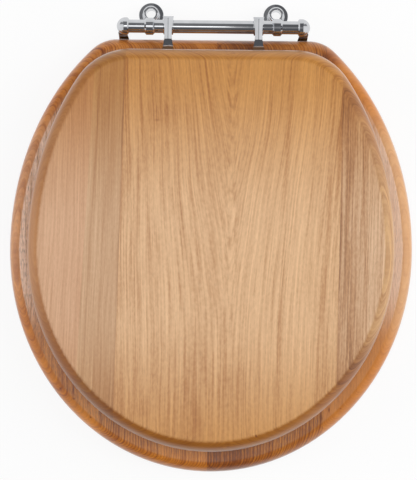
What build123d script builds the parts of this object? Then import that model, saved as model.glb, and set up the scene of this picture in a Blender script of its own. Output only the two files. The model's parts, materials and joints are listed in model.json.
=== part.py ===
from build123d import *
from math import radians, tan
import os

# A wooden toilet seat: a ring and a lid that turn on a chromed bar hinge with two pan pillars.
# Frame: the origin lies midway between the two pan fixing holes, on the pan's top face.
# +Z is up, +Y points to the back and the front of the seat lies towards -Y. Sizes are in mm.

# Seat ring
ring_width = 370.0
ring_front_reach = 203.0        # widest line to the front edge
ring_back_reach = 194.0         # widest line to the straight back edge
ring_back_overrun = 37.0        # how far the back curve would run on past the straight edge
ring_corner_radius = 33.0
ring_thickness = 19.0
ring_top_round = 11.0
ring_bottom_round = 4.0
opening_width = 222.0
opening_front_reach = 142.0     # widest line to the front of the opening
opening_back_reach = 126.0      # widest line to the back of the opening
opening_top_round = 8.0

# Lid
lid_side_inset = 19.0           # ring edge to lid edge at the widest line
lid_front_inset = 22.0
lid_back_inset = 12.0
lid_back_overrun = 48.0
lid_corner_radius = 57.0
lid_thickness = 17.0
lid_top_round = 11.8
lid_bottom_round = 2.5
top_round_limit = 0.7           # largest share of a board's thickness
bottom_round_limit = 0.2

# Buffers
ring_buffer_height = 9.0        # pan to the underside of the ring
ring_buffer_diameter = 22.0
ring_buffer_front_x = 78.0
ring_buffer_front_inset = 55.0  # from the front edge of the ring
ring_buffer_side_inset = 44.0   # from the widest side of the ring
ring_buffer_rear_y = 52.0       # rear pair behind the widest line
lid_buffer_height = 7.0         # top of the ring to the underside of the lid
lid_buffer_diameter = 16.0
lid_buffer_front_x = 68.0
lid_buffer_front_inset = 37.0   # from the front edge of the lid
lid_buffer_side_inset = 32.0    # from the widest side of the lid
lid_buffer_rear_y = 60.0        # rear pair behind the widest line
buffer_taper = 1.5              # the free end is smaller by this much all round
buffer_round = 1.0

# Hinge bar
bar_diameter = 12.0
bar_above_ring = 3.0            # bar axis above the top face of the ring
bar_behind_ring = 10.0          # bar axis behind the back edge of the ring
bar_ahead_of_holes = 15.0       # bar axis in front of the pan fixing holes
bar_clearance = 0.08            # radial, in the eyes that turn on the bar
bar_end_chamfer = 0.8

# Ring arms
knuckle_spacing = 154.0         # between the inner faces of the two knuckles
knuckle_length = 11.0
knuckle_diameter = 16.0
knuckle_lip = 1.2               # chamfer round the mouth of the socket
socket_depth = 6.0
socket_clearance = 0.02
leg_width = 9.2
leg_waist = 7.6
leg_depth = 9.0
leg_foot_width = 10.5
leg_ring_gap = 1.5              # leg to the back edge of the ring
leg_edge_round = 1.5
ring_plate_thickness = 3.0
ring_plate_width = 22.0
ring_plate_length = 48.0        # back edge of the ring to the round end of the plate

# Lid arms
lid_arm_spacing = 82.0
lid_eye_diameter = 15.0
lid_eye_width = 9.0
lid_eye_chamfer = 0.6
strap_back_width = 10.0
strap_back_reach = 8.6          # bar axis to the back end of the strap
strap_back_round = 3.5
strap_waist = 6.6
strap_foot_width = 11.0
strap_level_reach = 12.3        # bar axis to the crank
strap_thickness = 3.6
strap_bend_round = 1.5
strap_ridge = 1.5               # ridge of the strap above the eye
strap_slope = 20.0              # degrees, from the ridge down to each side
strap_ridge_round = 1.0
foot_bevel = 1.0                # along both sides of the cranked foot
lid_plate_thickness = 3.0
lid_plate_width = 20.0
lid_plate_length = 44.0         # back edge of the lid to the round end of the plate

# Pillars
pillar_spacing = 116.0
pillar_eye_diameter = 15.5
pillar_eye_width = 9.2
pillar_eye_chamfer = 1.5
foot_diameter = 23.0
foot_rim = 2.4
foot_cone = 0.5
boss_diameter = 15.0
boss_height = 12.5
boss_round = 2.2
boss_root_round = 0.8
foot_edge_round = 0.4
hole_edge_round = 0.5
bolt_hole_diameter = 9.0
neck_width = 7.0
neck_edge_round = 1.5
neck_foot_inset = 1.6          # rim of the foot to the front of the neck
neck_back_share = 0.9          # of the eye's radius, where the back of the neck meets it
neck_front_share = 0.8

# Screws
screw_diameter = 3.6
screw_head_diameter = 7.6
screw_tip = 3.0
screw_grip = 11.0               # length in the wood
screw_slot_width = 1.2
screw_slot_depth = 1.0
screw_clearance = 0.03
head_clearance = 0.4            # radial room round a sunk screw head
plate_screw_pitch = 11.0        # between the two screws side by side
plate_screw_edge = 8.5          # round end of a plate to the nearest screw
plate_screw_run = 18.0          # end screw to the pair
buffer_head_sink = 2.2          # screw head above the free end of a buffer
grub_diameter = 3.0
grub_hex = 1.6
grub_hex_depth = 1.0
grub_tilt = 40.0                # degrees below level, from the back

# Heights and places that follow
ring_bottom = ring_buffer_height
ring_top = ring_bottom + ring_thickness
lid_bottom = ring_top + lid_buffer_height
bar_y = -bar_ahead_of_holes
bar_z = ring_top + bar_above_ring
ring_back_y = bar_y - bar_behind_ring
widest_y = ring_back_y - ring_back_reach
bar_radius = bar_diameter / 2
eye_bore = bar_radius + bar_clearance
knuckle_x = knuckle_spacing / 2
lid_arm_x = lid_arm_spacing / 2
pillar_x = pillar_spacing / 2
lid_edge_reach = bar_behind_ring + lid_back_inset
lid_half_width = ring_width / 2 - lid_side_inset
lid_front_reach = ring_front_reach - lid_front_inset
lid_back_reach = ring_back_reach - lid_back_inset

# Seen from the side: first axis forward from the bar, second axis up from the pan
side_plane = Plane(origin=(0, bar_y, 0), x_dir=(0, -1, 0), z_dir=(-1, 0, 0))
# Seen from below, so that the second axis runs forward from the bar
plan_plane = Plane(origin=(0, bar_y, 0), x_dir=(1, 0, 0), z_dir=(0, 0, -1))
# Across the seat, along the bar
bar_plane = Plane(origin=(0, bar_y, bar_z), x_dir=(0, 1, 0), z_dir=(1, 0, 0))


def egg_board(half_width, front_reach, back_reach, back_overrun, corner_radius, thickness):
    """A board bounded by two half ellipses, cut straight at the back, widest on the X axis."""
    front = EllipticalCenterArc((0, 0), half_width, front_reach, 180, arc_size=180)
    back = EllipticalCenterArc((0, 0), half_width, back_reach + back_overrun, 0, arc_size=180)
    length = front_reach + back_reach
    kept = Pos(0, back_reach - length) * Rectangle(2 * half_width, 2 * length)
    board = extrude(make_face([front, back]) & kept, thickness)
    corners = board.edges().filter_by(Axis.Z).group_by(Axis.Y)[-1]
    return fillet(corners, corner_radius)


def round_rim(board, top, radius, hole=False):
    """Round the outer or inner rim of a board's top or bottom face."""
    face = board.faces().filter_by(Plane.XY).sort_by(Axis.Z)[-1 if top else 0]
    wire = face.inner_wires()[0] if hole else face.outer_wire()
    return fillet(wire.edges(), radius)


def across_bar(radius, length, chamfered=0):
    """A cylinder on the bar axis, centred on the seat's middle plane."""
    body = extrude(bar_plane * Circle(radius), length / 2, both=True)
    if chamfered:
        rims = body.edges().filter_by(GeomType.CIRCLE)
        body = chamfer(rims, chamfered)
    return body


def rod(radius, length):
    """An upright cylinder that stands on the origin."""
    return extrude(Circle(radius), length)


def arm_plan(back, back_width, waist, waist_width, foot, foot_width, plate_width, plate_end):
    """Plan of an arm: waisted behind its foot, then flared into a plate with a round end."""
    half = plate_width / 2
    flare = foot + half - foot_width / 2
    sides = []
    for side in (-1, 1):
        sides.append(
            ThreePointArc(
                (side * back_width / 2, back),
                (side * waist_width / 2, waist),
                (side * foot_width / 2, foot),
            )
        )
        sides.append(Line((side * foot_width / 2, foot), (side * half, flare)))
        sides.append(Line((side * half, flare), (side * half, plate_end - half)))
    back_edge = Line((-back_width / 2, back), (back_width / 2, back))
    end_arc = ThreePointArc((-half, plate_end - half), (0, plate_end), (half, plate_end - half))
    return make_face([*sides, back_edge, end_arc])


def side_extrusion(points, radii, width):
    """A closed side view with rounded corners, extruded evenly across the middle plane."""
    profile = make_face(FilletPolyline(*points, radius=radii, close=True))
    return extrude(side_plane * profile, width / 2, both=True)


def from_plan(face, height):
    """A plan raised from the pan to a height."""
    return extrude(plan_plane * face, -height)


def screw_form(length, spare=0.0):
    """A countersunk wood screw that points up, its head face at the origin."""
    head = screw_head_diameter / 2 + spare
    shank = screw_diameter / 2 + spare
    tip = length + spare
    profile = Polyline(
        (0, 0), (head, 0), (shank, head - shank), (shank, tip - screw_tip), (0, tip), close=True
    )
    return revolve(Plane.XZ * make_face(profile), Axis.Z)


def screw(length):
    """The screw with its driving slot."""
    slot = Box(2 * screw_head_diameter, screw_slot_width, 2 * screw_slot_depth)
    return screw_form(length) - slot


def plate_screw_places(arm_x, plate_end):
    """A triangle of screws in an arm's plate: one at the round end and a pair behind it."""
    end = plate_end - plate_screw_edge
    pair = end - plate_screw_run
    places = [(arm_x, end)]
    for side in (-1, 1):
        places.append((arm_x + side * plate_screw_pitch / 2, pair))
    return [(x, bar_y - reach) for x, reach in places]


def screw_group(places, height, length):
    """Separate screws at the same height, as one group."""
    return Compound(children=[Pos(x, y, height) * screw(length) for x, y in places])


def bore_for_screws(body, places, height, length):
    """Cut the holes for screws out of a body."""
    for x, y in places:
        body = body - Pos(x, y, height) * screw_form(length, screw_clearance)
    return body


def left_and_right(places):
    """The places with their mirror images."""
    return places + [(-x, y) for x, y in places]


# Screw places
ring_plate_end = bar_behind_ring + ring_plate_length
lid_plate_end = lid_edge_reach + lid_plate_length
ring_arm_x = knuckle_x + knuckle_length / 2
ring_arm_places = plate_screw_places(ring_arm_x, ring_plate_end)
lid_arm_places = plate_screw_places(lid_arm_x, lid_plate_end)
ring_screw_height = ring_bottom - ring_plate_thickness
lid_screw_height = lid_bottom - lid_plate_thickness
ring_screw_length = ring_plate_thickness + screw_grip
lid_screw_length = lid_plate_thickness + screw_grip

# Buffer places, right-hand side
ring_buffer_places = {
    "front": (ring_buffer_front_x, widest_y - ring_front_reach + ring_buffer_front_inset),
    "rear": (ring_width / 2 - ring_buffer_side_inset, widest_y + ring_buffer_rear_y),
}
lid_buffer_places = {
    "front": (lid_buffer_front_x, widest_y - lid_front_reach + lid_buffer_front_inset),
    "rear": (lid_half_width - lid_buffer_side_inset, widest_y + lid_buffer_rear_y),
}
ring_buffer_screw_length = ring_buffer_height - buffer_head_sink + screw_grip
lid_buffer_screw_length = lid_buffer_height - buffer_head_sink + screw_grip
ring_buffer_screw_height = buffer_head_sink
lid_buffer_screw_height = ring_top + buffer_head_sink


def make_seat_ring():
    """The wooden ring with its oval opening and rounded edges."""
    board = egg_board(
        ring_width / 2,
        ring_front_reach,
        ring_back_reach,
        ring_back_overrun,
        ring_corner_radius,
        ring_thickness,
    )
    top_round = min(ring_top_round, top_round_limit * ring_thickness)
    bottom_round = min(ring_bottom_round, bottom_round_limit * ring_thickness)
    board = round_rim(board, True, top_round)
    board = round_rim(board, False, bottom_round)
    front = EllipticalCenterArc((0, 0), opening_width / 2, opening_front_reach, 180, arc_size=180)
    back = EllipticalCenterArc((0, 0), opening_width / 2, opening_back_reach, 0, arc_size=180)
    board = board - extrude(make_face([front, back]), ring_thickness)
    board = round_rim(board, True, min(opening_top_round, top_round), hole=True)
    board = round_rim(board, False, bottom_round, hole=True)
    board = Pos(0, widest_y, ring_bottom) * board
    plates = left_and_right(ring_arm_places)
    board = bore_for_screws(board, plates, ring_screw_height, ring_screw_length)
    buffers = left_and_right(list(ring_buffer_places.values()))
    return bore_for_screws(board, buffers, ring_buffer_screw_height, ring_buffer_screw_length)


def make_lid():
    """The wooden lid: a flat panel with a wide rounded top edge."""
    board = egg_board(
        lid_half_width,
        lid_front_reach,
        lid_back_reach,
        lid_back_overrun,
        lid_corner_radius,
        lid_thickness,
    )
    board = round_rim(board, True, min(lid_top_round, top_round_limit * lid_thickness))
    board = round_rim(board, False, min(lid_bottom_round, bottom_round_limit * lid_thickness))
    board = Pos(0, widest_y, lid_bottom) * board
    plates = left_and_right(lid_arm_places)
    board = bore_for_screws(board, plates, lid_screw_height, lid_screw_length)
    buffers = left_and_right(list(lid_buffer_places.values()))
    return bore_for_screws(board, buffers, lid_buffer_screw_height, lid_buffer_screw_length)


def make_buffer(height, diameter, place, base):
    """A round buffer under a board, with a sunk hole for its screw."""
    outer = diameter / 2
    profile = FilletPolyline(
        (0, 0),
        (outer - buffer_taper, 0),
        (outer, height),
        (0, height),
        radius=[0, buffer_round, 0, 0],
        close=True,
    )
    body = revolve(Plane.XZ * make_face(profile), Axis.Z)
    well = rod(screw_head_diameter / 2 + head_clearance, buffer_head_sink)
    body = Pos(*place, base) * (body - well)
    length = height - buffer_head_sink + screw_grip
    return bore_for_screws(body, [place], base + buffer_head_sink, length)


def make_hinge_bar():
    """The plain round bar that both knuckles hold."""
    return across_bar(bar_radius, knuckle_spacing + 2 * socket_depth, bar_end_chamfer)


def knuckle_profile():
    """Half section of a knuckle: a chamfered mouth and a domed outer end."""
    radius = knuckle_diameter / 2
    dome_start = knuckle_length - radius
    mouth = Line((0, 0), (radius - knuckle_lip, 0))
    lip = Line((radius - knuckle_lip, 0), (radius, knuckle_lip))
    barrel = Line((radius, knuckle_lip), (radius, dome_start))
    dome = CenterArc((0, dome_start), radius, 0, arc_size=90)
    axis = Line((0, knuckle_length), (0, 0))
    return make_face([mouth, lip, barrel, dome, axis])


def make_ring_arm():
    """Right-hand ring arm: a domed knuckle, a leg down behind the ring and a plate under it."""
    knuckle_plane = Plane(origin=(knuckle_x, bar_y, bar_z), x_dir=(0, 1, 0), z_dir=(0, 0, -1))
    knuckle = revolve(knuckle_plane * knuckle_profile(), Axis((0, bar_y, bar_z), (1, 0, 0)))
    front = bar_behind_ring - leg_ring_gap
    back = front - leg_depth
    plate_low = ring_bottom - ring_plate_thickness
    side = [
        (back, bar_z),
        (back, plate_low),
        (ring_plate_end, plate_low),
        (ring_plate_end, ring_bottom),
        (front, ring_bottom),
        (front - leg_depth / 4, bar_z),
    ]
    radii = [0, leg_depth / 2, 0, 0, 0, 0]
    leg = side_extrusion(side, radii, ring_plate_width)
    plan = arm_plan(
        back,
        leg_width,
        (back + bar_behind_ring) / 2,
        leg_waist,
        bar_behind_ring,
        leg_foot_width,
        ring_plate_width,
        ring_plate_end,
    )
    leg = leg & from_plan(plan, bar_z)
    leg = fillet(leg.faces().sort_by(Axis.Y)[-1].edges().filter_by(Axis.Z), leg_edge_round)
    arm = knuckle + Pos(ring_arm_x, 0, 0) * leg
    socket = across_bar(bar_radius + socket_clearance, knuckle_spacing + 2 * socket_depth)
    grub_hole = grub_place() * rod(grub_diameter / 2 + screw_clearance, knuckle_diameter)
    arm = arm - socket - grub_hole
    return bore_for_screws(arm, ring_arm_places, ring_screw_height, ring_screw_length)


def grub_place():
    """Where the grub screw meets the bar: its axis points out, back and down."""
    middle = knuckle_x + knuckle_lip + grub_diameter / 2
    spot = Plane(origin=(middle, bar_y, bar_z), x_dir=(1, 0, 0), z_dir=(0, 1, 0))
    return spot.location * Rot(-grub_tilt, 0, 0)


def make_grub_screw():
    """Right-hand grub screw, flush with the knuckle, with a hexagon socket."""
    length = knuckle_diameter / 2 - bar_radius
    body = rod(grub_diameter / 2, length)
    socket = Pos(0, 0, length - grub_hex_depth) * extrude(RegularPolygon(grub_hex / 2, 6), length)
    return grub_place() * Pos(0, 0, bar_radius) * (body - socket)


def strap_roof(ridge_height):
    """A bar along the strap whose two upper slopes meet in a softened ridge."""
    side = lid_plate_width
    eaves = ridge_height - side * tan(radians(strap_slope))
    profile = FilletPolyline(
        (0, ridge_height),
        (side, eaves),
        (side, 0),
        (-side, 0),
        (-side, eaves),
        radius=[strap_ridge_round, 0, 0, 0, 0],
        close=True,
    )
    section = Plane(origin=(0, 0, 0), x_dir=(1, 0, 0), z_dir=(0, -1, 0)) * make_face(profile)
    return extrude(section, lid_plate_end + bar_ahead_of_holes)


def cut_across(body, reach):
    """The parts of a body behind and ahead of a distance in front of the bar."""
    plane = Plane(origin=(0, bar_y - reach, 0), z_dir=(0, -1, 0))
    return split(body, plane, keep=Keep.BOTTOM), split(body, plane, keep=Keep.TOP)


def make_lid_arm():
    """Right-hand lid arm: an eye on the bar and a waisted strap cranked down under the lid."""
    eye_top = bar_z + lid_eye_diameter / 2
    strap_top = eye_top + strap_ridge
    strap_low = strap_top - strap_thickness
    plate_low = lid_bottom - lid_plate_thickness
    step = strap_thickness / 2
    side = [
        (-strap_back_reach, bar_z),
        (-strap_back_reach, strap_top),
        (strap_level_reach, strap_top),
        (strap_level_reach, eye_top),
        (lid_edge_reach, lid_bottom),
        (lid_plate_end, lid_bottom),
        (lid_plate_end, plate_low),
        (lid_edge_reach - step, plate_low),
        (strap_level_reach - step, strap_low),
        (0, bar_z),
    ]
    bend = strap_bend_round
    strap = side_extrusion(side, [0, strap_back_round, 0, 0, 0, 0, 0, bend, bend, 0], lid_plate_width)
    plan = arm_plan(
        -strap_back_reach,
        strap_back_width,
        (lid_edge_reach - strap_back_reach) / 2,
        strap_waist,
        lid_edge_reach,
        strap_foot_width,
        lid_plate_width,
        lid_plate_end,
    )
    strap = strap & from_plan(plan, strap_top)
    cranked, plate = cut_across(strap, lid_edge_reach)
    level, foot = cut_across(cranked, strap_level_reach)
    foot_face = foot.faces().sort_by(Axis.Z)[-1]
    foot = chamfer(foot_face.edges().filter_by(Axis.X, reverse=True), foot_bevel)
    arm = across_bar(lid_eye_diameter / 2, lid_eye_width, lid_eye_chamfer)
    arm = arm + (level & strap_roof(strap_top)) + foot + plate
    arm = Pos(lid_arm_x, 0, 0) * (arm - across_bar(eye_bore, lid_plate_width))
    return bore_for_screws(arm, lid_arm_places, lid_screw_height, lid_screw_length)


def make_pillar():
    """Right-hand pillar: a barrel eye on the bar, a leaning neck and a round bolted foot."""
    boss = boss_diameter / 2
    foot = foot_diameter / 2
    hole = bolt_hole_diameter / 2
    profile = FilletPolyline(
        (hole, 0),
        (foot, 0),
        (foot, foot_rim),
        (boss, foot_rim + foot_cone),
        (boss, boss_height),
        (hole, boss_height),
        radius=[0, foot_edge_round, foot_edge_round, boss_root_round, boss_round, hole_edge_round],
        close=True,
    )
    base = revolve(Plane.XZ * make_face(profile), Axis.Z)
    eye = pillar_eye_diameter / 2
    wall_middle = (boss + hole) / 2 - bar_ahead_of_holes
    side = [
        (wall_middle, foot_rim / 2),
        (wall_middle, boss_height - boss_round),
        (-neck_back_share * eye, bar_z),
        (neck_front_share * eye, bar_z),
        (foot - neck_foot_inset - bar_ahead_of_holes, foot_rim / 2),
    ]
    neck = side_extrusion(side, [0, 0, 0, 0, 0], neck_width)
    rising = neck.edges().filter_by(Axis.X, reverse=True).filter_by(Axis.Y, reverse=True)
    neck = fillet(rising, neck_edge_round)
    body = base + neck + across_bar(eye, pillar_eye_width, pillar_eye_chamfer)
    body = body - across_bar(eye_bore, 2 * pillar_eye_width)
    return Pos(pillar_x, 0, 0) * body


def export_pair(name, right):
    """Write the right-hand piece and its mirror image."""
    export_step(right, f"parts/{name}_right.step")
    export_step(mirror(right, Plane.YZ), f"parts/{name}_left.step")


def main():
    os.makedirs("parts", exist_ok=True)
    export_step(make_seat_ring(), "parts/seat_ring.step")
    export_step(make_lid(), "parts/lid.step")
    export_step(make_hinge_bar(), "parts/hinge_bar.step")
    export_pair("ring_arm", make_ring_arm())
    export_pair("lid_arm", make_lid_arm())
    export_pair("pillar", make_pillar())
    export_pair("bar_grub_screw", make_grub_screw())
    export_pair("ring_arm_screws", screw_group(ring_arm_places, ring_screw_height, ring_screw_length))
    export_pair("lid_arm_screws", screw_group(lid_arm_places, lid_screw_height, lid_screw_length))
    for end, place in ring_buffer_places.items():
        buffer = make_buffer(ring_buffer_height, ring_buffer_diameter, place, 0)
        export_pair(f"ring_buffer_{end}", buffer)
    for end, place in lid_buffer_places.items():
        buffer = make_buffer(lid_buffer_height, lid_buffer_diameter, place, ring_top)
        export_pair(f"lid_buffer_{end}", buffer)
    ring_screw_spots = left_and_right(list(ring_buffer_places.values()))
    lid_screw_spots = left_and_right(list(lid_buffer_places.values()))
    export_step(
        screw_group(ring_screw_spots, ring_buffer_screw_height, ring_buffer_screw_length),
        "parts/ring_buffer_screws.step",
    )
    export_step(
        screw_group(lid_screw_spots, lid_buffer_screw_height, lid_buffer_screw_length),
        "parts/lid_buffer_screws.step",
    )


main()
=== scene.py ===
import json
import math

import bpy
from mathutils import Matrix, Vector

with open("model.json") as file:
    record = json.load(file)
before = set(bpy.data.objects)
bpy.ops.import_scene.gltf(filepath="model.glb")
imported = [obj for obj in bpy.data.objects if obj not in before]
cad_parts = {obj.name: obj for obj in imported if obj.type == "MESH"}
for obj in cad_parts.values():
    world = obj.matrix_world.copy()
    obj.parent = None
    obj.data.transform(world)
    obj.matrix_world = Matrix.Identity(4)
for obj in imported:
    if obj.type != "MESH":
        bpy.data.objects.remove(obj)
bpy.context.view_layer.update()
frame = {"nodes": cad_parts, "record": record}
scene = bpy.context.scene
scene.view_settings.view_transform = "Standard"

# Camera: straight down on the closed lid, with the small roll of the photograph. The view length is what the
# longer side of the picture spans on the floor.
CAMERA_PLACE = (-0.0024, -0.2089, 1.2)
CAMERA_ROLL_DEG = 0.62
VIEW_LENGTH = 0.4485
SENSOR_MM = 36.0

FLOOR_HALF = 6.0
# The floor is this much plain white close to the seat, where it shows the shadow, and all white from afar.
FLOOR_WHITE_NEAR = 0.88
FLOOR_NEAR, FLOOR_FAR = 0.22, 0.9
SEAT_MIDDLE = Vector((0.0, -0.21, 0.03))
MM_PER_METRE = 1000.0

# Most of a noise value lies in this span.
NOISE_SPAN = (0.3, 0.7)

# Timber, in millimetres. A leaning line has its written x at LEAN_Y.
LEAN_Y = -200.0
SWAY_ACROSS, SWAY_ALONG = 0.012, 0.007
# The heart line dives between these two places along Y, which bends the growth rings to a V. The V falls off
# at a rate of its own on either side.
DIVE_FROM, DIVE_TO = -310.0, 60.0
V_LEFT, V_RIGHT = 0.022, 0.010
# The noise differs left and right of the heart, so that the V isn't a mirror image.
HEART_HALF, HEART_LAYERS = 10.0, 4.0
# Streaks of the grain: lines per millimetre across, length, noise detail and noise roughness.
STREAKS = {
    "broad": (0.05, 300.0, 2.0, 0.5),
    "medium": (0.15, 140.0, 3.0, 0.5),
    "fine": (0.52, 150.0, 2.0, 0.7),
    "thin": (0.85, 60.0, 1.0, 0.5),
    "flecks": (0.75, 4.0, 1.0, 0.5),
}
PORE_LENGTH = 7.0
# A year's growth darkens over this share of it, and then ends sharply. Flecks break it up, and it is missing
# close to the heart.
LATE_FROM, LATE_TO = 0.55, 0.9
YEAR_WANDER = 4.0
FLECK_SPAN = (0.1, 0.5)
HEART_CLEAR = (2.0, 14.0)
# The fine lines wander with the medium streaks, which also break them up.
LINE_WANDER = 14.0
LINE_SPAN = (0.1, 1.0)
LINE_BREAKS = (0.75, 1.25)
# How far below the top a flat starts to count as a shaped edge.
FLAT_DROP_FROM = 0.02
# The painted shade and sheen on the edges change from left to right between -EDGE_SIDE_X and EDGE_SIDE_X, and
# from the flanks to the front between the next two. EDGE_TURN slants the line where they turn deep.
EDGE_SIDE_X = 100.0
EDGE_FRONT_FROM, EDGE_FRONT_TO = -320.0, -410.0
EDGE_TURN = 0.1
# The share of the pores that shows on the edges, and how softly a pore begins.
PORES_ON_EDGES = 0.2
PORE_SOFTNESS = 0.1
ROUGHNESS_SPREAD = 0.1


class Graph:
    """A node tree, with short ways to add the nodes that the materials here are made of."""

    def __init__(self, tree):
        self.tree = tree
        tree.nodes.clear()

    def add(self, kind, inputs=None, **settings):
        node = self.tree.nodes.new(kind)
        for name, value in settings.items():
            setattr(node, name, value)
        for name, value in (inputs or {}).items():
            self.put(value, node.inputs[name])
        return node

    def put(self, value, socket):
        if isinstance(value, bpy.types.NodeSocket):
            self.tree.links.new(value, socket)
        else:
            socket.default_value = value

    def math(self, operation, a, b=0.0, c=0.0):
        node = self.add("ShaderNodeMath", operation=operation)
        for socket, value in zip(node.inputs, (a, b, c)):
            self.put(value, socket)
        return node.outputs[0]

    def times(self, first, *others):
        for other in others:
            first = self.math("MULTIPLY", first, other)
        return first

    def most(self, first, *others):
        for other in others:
            first = self.math("MAXIMUM", first, other)
        return first

    def vector(self, x, y, z):
        return self.add("ShaderNodeCombineXYZ", {"X": x, "Y": y, "Z": z}).outputs[0]

    def noise(self, vector, scale=1.0, detail=2.0, roughness=0.5):
        values = {"Vector": vector, "Scale": scale, "Detail": detail, "Roughness": roughness}
        return self.add("ShaderNodeTexNoise", values).outputs["Fac"]

    def centred(self, noise, amount):
        """A noise value turned into one about 0."""
        return self.math("MULTIPLY_ADD", noise, amount, -0.5 * amount)

    def between(self, value, low, high, to_low=0.0, to_high=1.0):
        """Eases from one value at low to the other at high, and stays there on either side."""
        values = {"Value": value, "From Min": low, "From Max": high, "To Min": to_low, "To Max": to_high}
        return self.add("ShaderNodeMapRange", values, interpolation_type="SMOOTHSTEP").outputs[0]

    def mix(self, share, a, b, blend="MIX"):
        node = self.add("ShaderNodeMix", data_type="RGBA", blend_type=blend)
        factor, first, second = node.inputs[0], node.inputs[6], node.inputs[7]
        for socket, value in ((factor, share), (first, a), (second, b)):
            self.put(value, socket)
        return node.outputs[2]

    def ramp(self, value, stops):
        node = self.add("ShaderNodeValToRGB", {"Fac": value})
        elements = node.color_ramp.elements
        while len(elements) < len(stops):
            elements.new(0.5)
        for element, (place, shade) in zip(elements, stops):
            element.position = place
            element.color = (*shade, 1.0)
        return node.outputs[0]

    def shades(self, noise, dark, pale):
        """A colour that drifts with a noise value."""
        return self.ramp(noise, list(zip(NOISE_SPAN, (dark, pale))))

    def bump(self, height, strength, distance):
        values = {"Height": height, "Strength": strength, "Distance": distance}
        return self.add("ShaderNodeBump", values).outputs[0]

    def place_mm(self):
        """The place on the part in millimetres, as x, y and z."""
        coords = self.add("ShaderNodeTexCoord").outputs["Object"]
        scaled = self.add("ShaderNodeVectorMath", operation="SCALE")
        self.put(coords, scaled.inputs[0])
        scaled.inputs["Scale"].default_value = MM_PER_METRE
        parts = self.add("ShaderNodeSeparateXYZ", {"Vector": scaled.outputs[0]})
        return parts.outputs[0], parts.outputs[1], parts.outputs[2]


def new_material(name):
    material = bpy.data.materials.new(name)
    material.use_nodes = True
    return material, Graph(material.node_tree)


def finish_material(graph, values):
    shader = graph.add("ShaderNodeBsdfPrincipled", values)
    output = graph.add("ShaderNodeOutputMaterial")
    graph.put(shader.outputs[0], output.inputs["Surface"])


def colour(red, green, blue):
    return (red, green, blue, 1.0)


def bell(graph, *offsets):
    """1 in the middle of a mark, falling away smoothly with the offsets from it."""
    total = graph.math("MULTIPLY", offsets[0], offsets[0])
    for offset in offsets[1:]:
        total = graph.math("MULTIPLY_ADD", offset, offset, total)
    return graph.math("EXPONENT", graph.math("MULTIPLY", total, -1.0))


class Panel:
    """A panel glued from boards side by side: the place on it, and what the board at that place is like."""

    def __init__(self, graph, look):
        self.graph = graph
        self.boards = look["boards"]
        self.x, self.y, z = graph.place_mm()
        self.along = graph.math("ADD", self.y, -LEAN_Y)
        self.drop = graph.math("SUBTRACT", look["top_z"], z)
        self.steps = [
            graph.math("GREATER_THAN", self.leaning(joint["lean"]), joint["x"]) for joint in look["joints"]
        ]

    def leaning(self, lean):
        """x as it is measured from a line that leans by so much per millimetre along the grain."""
        return self.graph.math("SUBTRACT", self.x, self.graph.math("MULTIPLY", self.along, lean))

    def stepped(self, values):
        """The first board's value, changed to the next one's at each joint."""
        result = values[0]
        for step, before, after in zip(self.steps, values, values[1:]):
            result = self.graph.math("MULTIPLY_ADD", step, after - before, result)
        return result

    def value(self, key):
        return self.stepped([board[key] for board in self.boards])

    def colour(self, key):
        channels = zip(*(board[key] for board in self.boards))
        return self.graph.vector(*(self.stepped(channel) for channel in channels))


def growth_rings(panel, look):
    """How far a place lies sideways from its board's heart line, and its growth ring round that line."""
    g = panel.graph
    swaying = g.vector(g.times(panel.x, SWAY_ACROSS), g.times(panel.y, SWAY_ALONG), panel.value("seed"))
    sway = g.centred(g.noise(swaying, detail=1.0), look["sway"])
    across = g.math("ADD", sway, panel.leaning(panel.value("lean")))
    across = g.math("SUBTRACT", across, panel.value("heart_x"))
    depth = g.math("MULTIPLY_ADD", panel.drop, panel.value("rise"), panel.value("blunt"))
    ring = g.math("SQRT", g.math("MULTIPLY_ADD", across, across, g.times(depth, depth)))
    on_right = g.math("GREATER_THAN", across, 0.0)
    wide = g.times(across, g.math("MULTIPLY_ADD", on_right, V_RIGHT - V_LEFT, V_LEFT))
    reach = g.math("DIVIDE", 1.0, g.math("MULTIPLY_ADD", wide, wide, 1.0))
    dive = g.times(g.between(panel.y, DIVE_FROM, DIVE_TO, 1.0, 0.0), panel.value("dive"))
    ring = g.math("MULTIPLY_ADD", dive, reach, ring)
    ring = g.math("MULTIPLY_ADD", panel.drop, -look["tilt"], ring)
    return across, ring


def grain_patterns(panel, look, across, ring):
    """Noise drawn out along the growth rings, from broad shades to pores."""
    g = panel.graph
    layer = g.between(across, -HEART_HALF, HEART_HALF, 0.0, HEART_LAYERS)
    layer = g.math("ADD", panel.value("seed"), layer)
    streaks = {**STREAKS, "pores": (look["pore_fineness"], PORE_LENGTH, 1.0, 0.5)}
    patterns = {}
    for name, (fineness, length, detail, roughness) in streaks.items():
        place = g.vector(g.times(ring, fineness), g.times(panel.y, 1.0 / length), layer)
        patterns[name] = g.noise(place, detail=detail, roughness=roughness)
    return patterns


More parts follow.
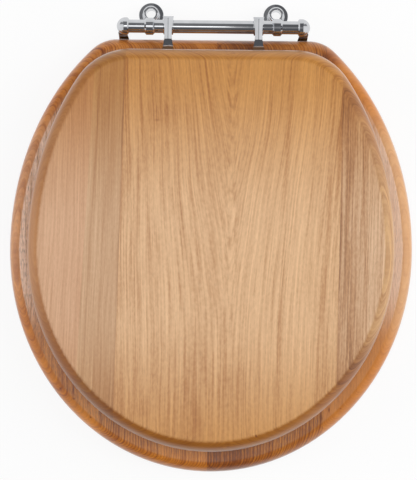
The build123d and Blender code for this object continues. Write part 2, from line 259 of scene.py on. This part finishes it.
def timber_tone(panel, look, across, ring, patterns):
    """How pale the timber is at a place on it, for the GRAIN ramp."""
    g = panel.graph
    years = g.math("DIVIDE", ring, panel.value("year_mm"))
    year = g.math("FRACT", g.math("MULTIPLY_ADD", patterns["broad"], YEAR_WANDER, years))
    late = g.times(
        g.between(year, LATE_FROM, LATE_TO),
        g.between(year, LATE_TO, 1.0, 1.0, 0.0),
        g.between(patterns["flecks"], *FLECK_SPAN),
        g.between(g.math("ABSOLUTE", across), *HEART_CLEAR),
    )
    phase = g.times(ring, 2.0 * math.pi / look["line_mm"])
    phase = g.math("MULTIPLY_ADD", patterns["medium"], LINE_WANDER, phase)
    broken = g.between(g.math("ADD", patterns["thin"], patterns["medium"]), *LINE_BREAKS)
    lines = g.times(g.between(g.math("SINE", phase), *LINE_SPAN), broken)

    figure = g.times(late, g.times(panel.value("late"), -1.0))
    figure = g.math("MULTIPLY_ADD", lines, -look["lines"], figure)
    for key in STREAKS:
        figure = g.math("ADD", figure, g.centred(patterns[key], look[key]))
    tone = g.math("MULTIPLY_ADD", figure, panel.value("figure"), panel.value("tone"))

    for place, lean, half_width, darkness in look["bands"]:
        offset = g.math("SUBTRACT", panel.leaning(lean), place)
        offset = g.math("MULTIPLY_ADD", panel.drop, -math.copysign(look["tilt"], place), offset)
        tone = g.math("MULTIPLY_ADD", bell(g, g.math("DIVIDE", offset, half_width)), -darkness, tone)
    for place_x, place_y, half_width, half_length, darkness in look["marks"]:
        offset_x = g.math("DIVIDE", g.math("SUBTRACT", panel.x, place_x), half_width)
        offset_y = g.math("DIVIDE", g.math("SUBTRACT", panel.y, place_y), half_length)
        tone = g.math("MULTIPLY_ADD", bell(g, offset_x, offset_y), -darkness, tone)
    return tone


def timber_colour(panel, look, flat):
    """The colour under the grain.

    The middle of the flats is paler than the back and the front: a painted sheen, the reflection of overhead
    light on the lacquer. The rounded edges are deeper, with painted shade: most at the front, where they turn
    deeper further back on the left than on the right, and least at the back; on the flanks a painted sheen
    lightens them.
    """
    g, x, y = panel.graph, panel.x, panel.y
    # Painted sheen: the middle of the flats takes each board's pale colour, a painted reflection of overhead
    # light on the lacquer.
    not_back = g.between(y, *look["painted_sheen_back"])
    middle = g.times(not_back, g.between(y, *look["painted_sheen_front"]))
    pale = g.mix(g.times(middle, look["painted_sheen_share"]), colour(*look["deep"]), panel.colour("pale"))
    # Painted shade on the rounded edges: deepest at the front, least at the back, set from left to right, and
    # painted lighter on the flanks as a sheen.
    shade_by_side = g.between(x, -EDGE_SIDE_X, EDGE_SIDE_X, *look["edge_shade_by_side"])
    edge_shade_share = g.times(
        g.math("SUBTRACT", 1.0, flat),
        g.most(shade_by_side, g.between(y, EDGE_FRONT_FROM, EDGE_FRONT_TO)),
        g.between(y, *look["edge_shade_from"], look["edge_shade_back"], 1.0),
    )
    turned = g.math("MULTIPLY_ADD", x, EDGE_TURN, y)
    edge_sheen_share = g.times(not_back, g.between(turned, *look["edge_shade_front"]))
    edge = g.mix(edge_sheen_share, colour(*look["edge"]), panel.colour("edge"))
    return g.mix(edge_shade_share, pale, edge)


def wood_material(name, look):
    """Solid timber glued from boards side by side, with its grain along Y and a satin lacquer."""
    material, g = new_material(name)
    panel = Panel(g, look)
    across, ring = growth_rings(panel, look)
    patterns = grain_patterns(panel, look, across, ring)
    tone = timber_tone(panel, look, across, ring, patterns)
    flat = g.between(panel.drop, FLAT_DROP_FROM, look["flat_drop"], 1.0, 0.0)
    # The colour under the grain carries painted sheen on the flats and painted shade on the edges.
    timber = timber_colour(panel, look, flat)
    timber = g.mix(1.0, timber, g.ramp(tone, GRAIN), "MULTIPLY")
    timber = g.mix(1.0, timber, panel.colour("tint"), "MULTIPLY")
    pore = g.between(patterns["pores"], look["pore_from"], look["pore_from"] + PORE_SOFTNESS)
    pore = g.times(pore, g.math("MULTIPLY_ADD", flat, 1.0 - PORES_ON_EDGES, PORES_ON_EDGES))
    timber = g.mix(g.times(pore, panel.value("pores")), timber, colour(*look["pore"]))
    relief = g.math("SUBTRACT", patterns["fine"], pore)
    smoothest = look["rough"] - 0.5 * ROUGHNESS_SPREAD
    finish_material(g, {
        "Base Color": timber,
        "Roughness": g.math("MULTIPLY_ADD", patterns["medium"], ROUGHNESS_SPREAD, smoothest),
        "Specular IOR Level": 0.3,
        "Coat Weight": 1.0,
        "Coat Roughness": 0.32,
        "Sheen Weight": 0.35,
        "Sheen Roughness": 0.3,
        "Normal": g.bump(relief, strength=0.1, distance=0.0001),
    })
    return material


# What the tone does to the timber's colour, from the darkest grain to the palest.
GRAIN = [
    (0.0, (0.38, 0.25, 0.18)),
    (0.35, (0.79, 0.66, 0.54)),
    (0.65, (1.06, 1.06, 1.06)),
    (1.0, (1.28, 1.34, 1.40)),
]

# Each board has its own noise (seed), heart line (heart_x, lean), depth of the heart (blunt, rise), V (dive),
# growth rings (year_mm, late), strength of the grain (figure), tone, pores and colours; its pale colour is
# the painted sheen on the flats, and its edge colour is the rounded edges' colour, painted lighter on the
# flanks as sheen.
USUAL_BOARD = {"figure": 1.0, "lean": 0.0, "blunt": 8.0, "rise": 0.8, "dive": 0.0}

# The two boards on the lid's left differ in tone and tint alone.
LID_LEFT_BOARD = {
    **USUAL_BOARD, "seed": 3.1, "figure": 0.5, "heart_x": 300.0, "lean": 0.03, "year_mm": 7.0, "late": 0.10,
    "pores": 0.1, "pale": (0.665, 0.403, 0.21), "edge": (0.48, 0.215, 0.06),
}

# Bands and marks are the streaks, glue lines, small knots and broader patches that show in the timber; one
# mark on the ring is painted shade. A band runs the whole length as (x at LEAN_Y, lean, half width,
# darkness); a mark is (x, y, half width, half length, darkness).
LID_LOOK = {
    "joints": [
        {"x": -113.0, "lean": 0.05},
        {"x": -82.0, "lean": 0.025},
        {"x": 115.0, "lean": 0.012},
    ],
    "boards": [
        {**LID_LEFT_BOARD, "tone": 0.575, "tint": (0.96, 0.93, 1.02)},
        {**LID_LEFT_BOARD, "tone": 0.60, "tint": (0.94, 0.985, 1.08)},
        {**USUAL_BOARD, "seed": 8.7, "heart_x": 17.0, "blunt": 5.0, "dive": 34.0, "year_mm": 7.5,
         "late": 0.10, "tone": 0.68, "pores": 0.1, "tint": (1.0, 1.0, 1.0),
         "pale": (0.665, 0.403, 0.21), "edge": (0.48, 0.215, 0.06)},
        {**USUAL_BOARD, "seed": 15.3, "heart_x": -250.0, "lean": 0.02, "year_mm": 8.0,
         "late": 0.10, "tone": 0.63, "pores": 0.2, "tint": (0.94, 0.95, 1.03),
         "pale": (0.68, 0.43, 0.235), "edge": (0.52, 0.28, 0.10)},
    ],
    "bands": [
        (-97.0, 0.05, 12.0, 0.12),
        (-107.5, 0.05, 1.1, 0.18),
        (-82.5, 0.025, 0.9, 0.18),
        (-78.5, 0.0, 4.0, 0.11),
        (44.0, 0.03, 15.0, -0.13),
        (65.5, 0.03, 2.3, 0.18),
        (76.0, 0.06, 14.0, -0.14),
        (85.5, 0.09, 2.0, 0.12),
        (90.0, 0.08, 5.0, -0.06),
        (102.5, 0.05, 2.6, 0.16),
        (115.8, 0.012, 0.9, 0.20),
        (122.5, 0.0, 8.0, 0.26),
        (137.1, -0.03, 0.8, 0.12),
    ],
    "marks": [
        (-49.6, -102.1, 2.6, 1.2, 0.30),
        (-43.0, -95.0, 10.0, 12.0, 0.12),
        (-59.0, -361.0, 9.0, 7.0, 0.10),
        (41.9, -383.6, 0.9, 1.2, 0.60),
        (8.0, -335.0, 32.0, 50.0, 0.13),
        (93.6, -315.0, 5.0, 35.0, -0.14),
        (-84.0, -366.0, 14.0, 45.0, 0.18),
    ],
    "sway": 8.0,
    "top_z": 52.0,
    "flat_drop": 0.3,
    "tilt": 3.0,
    # The edge entries set the painted shade on the rounded edges, less of it on the right here, and the pale
    # entries set the painted sheen on the flats.
    "edge_shade_by_side": (1.0, 0.92),
    "edge_shade_back": 0.35,
    "edge_shade_from": (-60.0, -160.0),
    "edge_shade_front": (-332.0, -250.0),
    "broad": 0.35,
    "medium": 0.25,
    "fine": 0.7,
    "thin": 0.8,
    "flecks": 0.4,
    "lines": 0.14,
    "line_mm": 2.7,
    "deep": (0.51, 0.225, 0.05),
    "edge": (0.30, 0.098, 0.005),
    "painted_sheen_share": 1.0,
    "painted_sheen_back": (-50.0, -200.0),
    "painted_sheen_front": (-418.0, -272.0),
    "pore": (0.22, 0.105, 0.05),
    "pore_from": 0.62,
    "pore_fineness": 0.95,
    "rough": 0.38,
}

RING_LOOK = {
    "joints": [
        {"x": -99.6, "lean": 0.0},
        {"x": 1.2, "lean": 0.013},
        {"x": 104.0, "lean": 0.0},
    ],
    "boards": [
        # The first ring board's pale colour is painted lighter still, as light from the left on its flat.
        {**USUAL_BOARD, "seed": 21.0, "figure": 1.25, "heart_x": 160.0, "year_mm": 5.0,
         "late": 0.20, "tone": 0.62, "pores": 0.5, "tint": (1.0, 0.98, 0.96),
         "pale": (0.88, 0.64, 0.49), "edge": (0.58, 0.26, 0.10)},
        {**USUAL_BOARD, "seed": 27.4, "figure": 1.35, "heart_x": 220.0, "year_mm": 2.4,
         "late": 0.32, "tone": 0.66, "pores": 0.4, "tint": (1.0, 1.0, 1.0),
         "pale": (0.72, 0.475, 0.32), "edge": (0.50, 0.165, 0.02)},
        {**USUAL_BOARD, "seed": 33.8, "figure": 1.25, "heart_x": 150.0, "blunt": 20.0, "rise": 3.0,
         "year_mm": 2.6, "late": 0.36, "tone": 0.55, "pores": 0.6, "tint": (0.86, 0.88, 0.92),
         "pale": (0.72, 0.475, 0.32), "edge": (0.50, 0.165, 0.02)},
        {**USUAL_BOARD, "seed": 40.2, "figure": 0.6, "heart_x": -90.0, "year_mm": 5.5,
         "late": 0.08, "tone": 0.60, "pores": 0.2, "tint": (1.0, 1.02, 1.10),
         "pale": (0.80, 0.55, 0.37), "edge": (0.59, 0.30, 0.115)},
    ],
    "bands": [
        (-99.6, 0.0, 1.2, 0.45),
        (1.8, 0.013, 0.9, 0.30),
        (24.0, 0.013, 24.0, 0.28),
    ],
    "marks": [
        (-124.3, -347.0, 0.9, 6.0, 0.70),
        (-123.5, -355.0, 0.9, 0.9, 0.60),
        (-136.1, -346.0, 0.8, 0.9, 0.70),
        (-110.6, -358.5, 0.8, 4.5, 0.50),
        (-108.1, -372.0, 0.8, 0.9, 0.90),
        (102.0, -369.8, 0.9, 3.6, 0.60),
        (109.2, -362.8, 0.8, 2.2, 0.60),
        (119.7, -361.5, 0.7, 0.7, 0.50),
        # Painted shade on the ring beside the lid's back edge, on the right.
        (106.0, -42.0, 9.0, 8.0, 0.55),
        (-112.0, -378.0, 20.0, 22.0, -0.35),
    ],
    "sway": 10.0,
    "top_z": 28.0,
    "flat_drop": 0.15,
    "tilt": 2.0,
    # The edge entries set the painted shade on the rounded edges, and the pale entries set the painted sheen
    # on the flats.
    "edge_shade_by_side": (1.0, 1.0),
    "edge_shade_back": 0.3,
    "edge_shade_from": (-40.0, -90.0),
    "edge_shade_front": (-305.0, -245.0),
    "broad": 0.4,
    "medium": 0.5,
    "fine": 0.6,
    "thin": 0.5,
    "flecks": 0.4,
    "lines": 0.12,
    "line_mm": 2.4,
    "deep": (0.55, 0.212, 0.045),
    "edge": (0.53, 0.172, 0.012),
    "painted_sheen_share": 0.9,
    "painted_sheen_back": (-70.0, -130.0),
    "painted_sheen_front": (-305.0, -245.0),
    "pore": (0.12, 0.06, 0.055),
    "pore_from": 0.54,
    "pore_fineness": 2.0,
    "rough": 0.36,
}


def chrome_material(name, waviness):
    """Polished plating, a little uneven over a casting and straight on drawn bar."""
    material, g = new_material(name)
    place = g.vector(*g.place_mm())
    haze = g.noise(place, scale=0.12, detail=3.0)
    waves = g.noise(place, scale=0.22, detail=1.0)
    finish_material(g, {
        "Base Color": g.shades(haze, (0.57, 0.58, 0.60), (0.63, 0.64, 0.66)),
        "Metallic": 1.0,
        "Roughness": g.between(haze, *NOISE_SPAN, 0.02, 0.06),
        "Normal": g.bump(waves, strength=waviness, distance=0.001),
    })
    return material


def rubber_material():
    """Matt moulded buffers, faintly mottled."""
    material, g = new_material("buffer_rubber")
    place = g.vector(*g.place_mm())
    mottle = g.noise(place, scale=0.35, detail=3.0)
    grain = g.noise(place, scale=3.0, detail=2.0)
    finish_material(g, {
        "Base Color": g.shades(mottle, (0.66, 0.63, 0.56), (0.76, 0.73, 0.67)),
        "Roughness": g.between(grain, *NOISE_SPAN, 0.55, 0.72),
        "Normal": g.bump(grain, strength=0.25, distance=0.0002),
    })
    return material


def steel_material():
    """Zinc-plated screws with fine turning marks, which lie close together along Z."""
    material, g = new_material("screw_steel")
    x, y, z = g.place_mm()
    haze = g.noise(g.vector(x, y, z), scale=0.8, detail=3.0)
    marks = g.noise(g.vector(x, y, g.times(z, 8.0)), scale=1.5, detail=2.0)
    finish_material(g, {
        "Base Color": g.shades(haze, (0.50, 0.49, 0.46), (0.62, 0.61, 0.58)),
        "Metallic": 1.0,
        "Roughness": g.between(marks, *NOISE_SPAN, 0.24, 0.40),
        "Normal": g.bump(marks, strength=0.15, distance=0.0002),
    })
    return material


def dress_nodes():
    """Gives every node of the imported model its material."""
    drawn = chrome_material("chrome_bar", waviness=0.004)
    by_slot = {
        "lid_wood": wood_material("lid_wood", LID_LOOK),
        "ring_wood": wood_material("ring_wood", RING_LOOK),
        "chrome": chrome_material("chrome_casting", waviness=0.05),
        "buffer_rubber": rubber_material(),
        "screw_steel": steel_material(),
    }
    slots = {part["node"]: part["material_slot"] for part in frame["record"]["subparts"]}
    for name, node in frame["nodes"].items():
        material = drawn if name == "hinge_bar" else by_slot[slots[name]]
        node.data.materials.clear()
        node.data.materials.append(material)


def seen_ray(graph):
    """1 for the rays that look at the background: straight, in metal or through glass."""
    path = graph.add("ShaderNodeLightPath")
    return graph.most(*(path.outputs[f"Is {kind} Ray"] for kind in ("Camera", "Glossy", "Transmission")))


def add_floor():
    """A sheet of white paper that shows the seat's shadow near it and is plain white further off."""
    mesh = bpy.data.meshes.new("floor")
    corners = [(a * FLOOR_HALF, b * FLOOR_HALF, 0.0) for a, b in ((-1, -1), (1, -1), (1, 1), (-1, 1))]
    mesh.from_pydata(corners, [], [(0, 1, 2, 3)])
    floor = bpy.data.objects.new("floor", mesh)
    scene.collection.objects.link(floor)
    material, g = new_material("floor_white")
    paper = g.add("ShaderNodeBsdfDiffuse", {"Color": colour(0.95, 0.95, 0.95)})
    white = g.add("ShaderNodeEmission", {"Color": colour(1.0, 1.0, 1.0), "Strength": 1.0})
    place = g.add("ShaderNodeTexCoord").outputs["Object"]
    away = g.add("ShaderNodeVectorMath", {0: place, 1: SEAT_MIDDLE}, operation="DISTANCE")
    plain = g.between(away.outputs["Value"], FLOOR_NEAR, FLOOR_FAR, FLOOR_WHITE_NEAR, 1.0)
    share = g.times(seen_ray(g), plain)
    mixed = g.add("ShaderNodeMixShader", {0: share, 1: paper.outputs[0], 2: white.outputs[0]})
    output = g.add("ShaderNodeOutputMaterial")
    g.put(mixed.outputs[0], output.inputs["Surface"])
    mesh.materials.append(material)


def add_world():
    """The studio that the chrome mirrors, and a low even fill that lights the rest.

    The side walls are white, a little darker on the left, with a dark band towards the back. The horizon and
    the back wall are white too. A strip overhead is white on the left and dim on the right.
    """
    world = bpy.data.worlds.new("studio")
    scene.world = world
    world.use_nodes = True
    g = Graph(world.node_tree)
    coords = g.add("ShaderNodeTexCoord").outputs["Generated"]
    sideways, backwards, upwards = g.add("ShaderNodeSeparateXYZ", {"Vector": coords}).outputs
    dark_band = g.times(g.between(backwards, 0.24, 0.3), g.between(backwards, 0.55, 0.72, 1.0, 0.0))
    side_walls = g.times(
        g.between(g.math("ABSOLUTE", sideways), 0.34, 0.5),
        g.between(sideways, -0.4, 0.4, 0.9, 1.0),
        g.math("MULTIPLY_ADD", dark_band, -0.8, 1.0),
    )
    horizon = g.between(upwards, 0.05, 0.32, 1.0, 0.0)
    back_wall = g.between(backwards, 0.72, 0.85, 0.0, 0.95)
    strip = g.times(
        g.between(backwards, -0.5, -0.2),
        g.between(backwards, 0.0, 0.1, 1.0, 0.12),
        g.between(sideways, 0.0, 0.04, 1.0, 0.2),
    )
    share = g.most(side_walls, horizon, back_wall, strip)
    seen = g.mix(share, colour(0.12, 0.122, 0.13), colour(1.0, 1.0, 1.0))
    fill = colour(0.16, 0.16, 0.165)
    background = g.add("ShaderNodeBackground", {"Color": g.mix(seen_ray(g), fill, seen)})
    output = g.add("ShaderNodeOutputWorld")
    g.put(background.outputs[0], output.inputs["Surface"])


def add_softbox(name, place, width, length, brightness, mirrored=True, lighting=True):
    """A rectangular lamp aimed at the seat; brightness is what a mirror would show, white being 1."""
    data = bpy.data.lights.new(name, "AREA")
    data.shape = "RECTANGLE"
    data.size = width
    data.size_y = length
    data.energy = brightness * math.pi * width * length
    lamp = bpy.data.objects.new(name, data)
    scene.collection.objects.link(lamp)
    lamp.location = place
    lamp.rotation_mode = "QUATERNION"
    lamp.rotation_quaternion = (SEAT_MIDDLE - Vector(place)).to_track_quat("-Z", "Y")
    lamp.visible_camera = False
    lamp.visible_glossy = mirrored
    lamp.visible_diffuse = lighting


def add_lights():
    """Four lamps that light the timber and one strip that shows in the chrome alone."""
    add_softbox("right_key", (1.6, 0.1, 1.4), width=1.3, length=1.3, brightness=3.4, mirrored=False)
    add_softbox("right_fill", (1.9, 0.0, 0.7), width=2.4, length=0.9, brightness=2.8, mirrored=False)
    add_softbox("top_fill", (0.0, -0.2, 2.4), width=2.0, length=2.0, brightness=1.3, mirrored=False)
    add_softbox("left_fill", (-1.9, -0.2, 0.9), width=1.2, length=1.0, brightness=5.0, mirrored=False)
    add_softbox("top_strip", (-0.32, -0.24, 2.4), width=0.34, length=0.75, brightness=1.7, lighting=False)


def add_camera():
    data = bpy.data.cameras.new("camera")
    data.sensor_width = SENSOR_MM
    data.lens = SENSOR_MM * CAMERA_PLACE[2] / VIEW_LENGTH
    camera = bpy.data.objects.new("camera", data)
    scene.collection.objects.link(camera)
    camera.location = CAMERA_PLACE
    camera.rotation_euler = (0.0, 0.0, math.radians(CAMERA_ROLL_DEG))
    scene.camera = camera


dress_nodes()
add_floor()
add_world()
add_lights()
add_camera()
